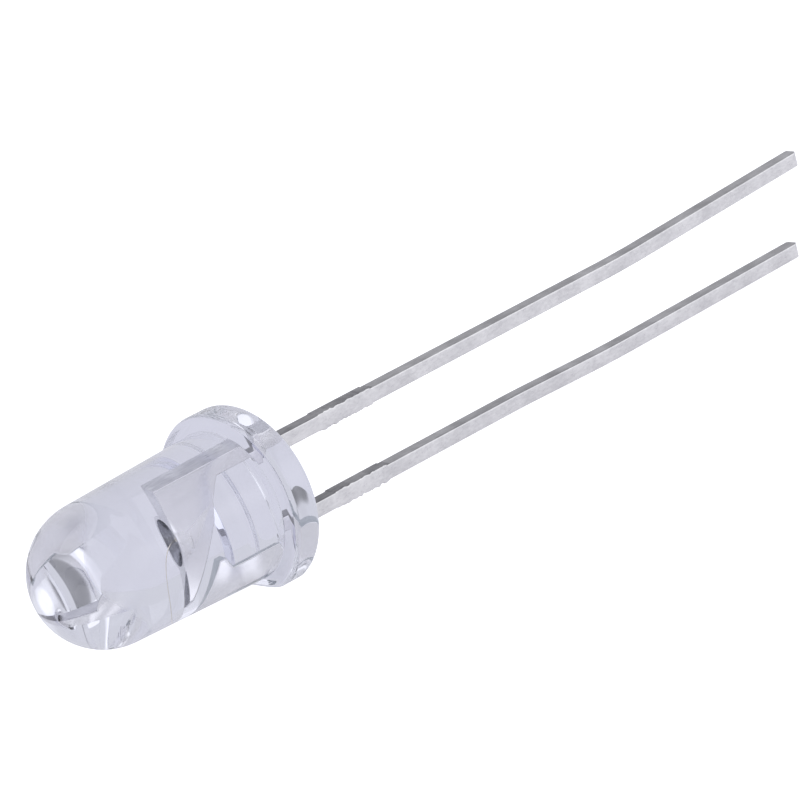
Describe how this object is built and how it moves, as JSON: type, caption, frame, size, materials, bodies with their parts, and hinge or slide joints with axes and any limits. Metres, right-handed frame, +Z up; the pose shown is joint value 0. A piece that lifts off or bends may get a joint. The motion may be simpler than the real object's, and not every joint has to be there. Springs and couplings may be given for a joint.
{
  "type": "through-hole led",
  "caption": "Clear round lamp LED: cast epoxy lens with a flange, reflector cup, chip and bond wire inside, and straight leads for a circuit board.",
  "frame": {"origin": "middle of the lamp's outline on the surface that it lies on, in plan; Z = 0 is that surface", "axes": "+X runs from the dome towards the tips of the leads, +Z is up, and the anode lead lies above the cathode lead"},
  "size_m": [0.0344, 0.0058, 0.0056],
  "materials": {
    "clear_epoxy": "clear cast epoxy, polished by its mould",
    "tinned_steel": "stamped steel, bright tin plated",
    "chip": "sawn semiconductor crystal",
    "silver_epoxy": "silver-filled epoxy, matt",
    "gold_wire": "bright drawn gold"
  },
  "bodies": {
    "root": {"epoxy_lens": "clear_epoxy", "anode_lead": "tinned_steel", "cathode_lead": "tinned_steel", "led_die": "chip", "die_bond": "silver_epoxy", "bond_wire": "gold_wire"}
  },
  "joints": []
}
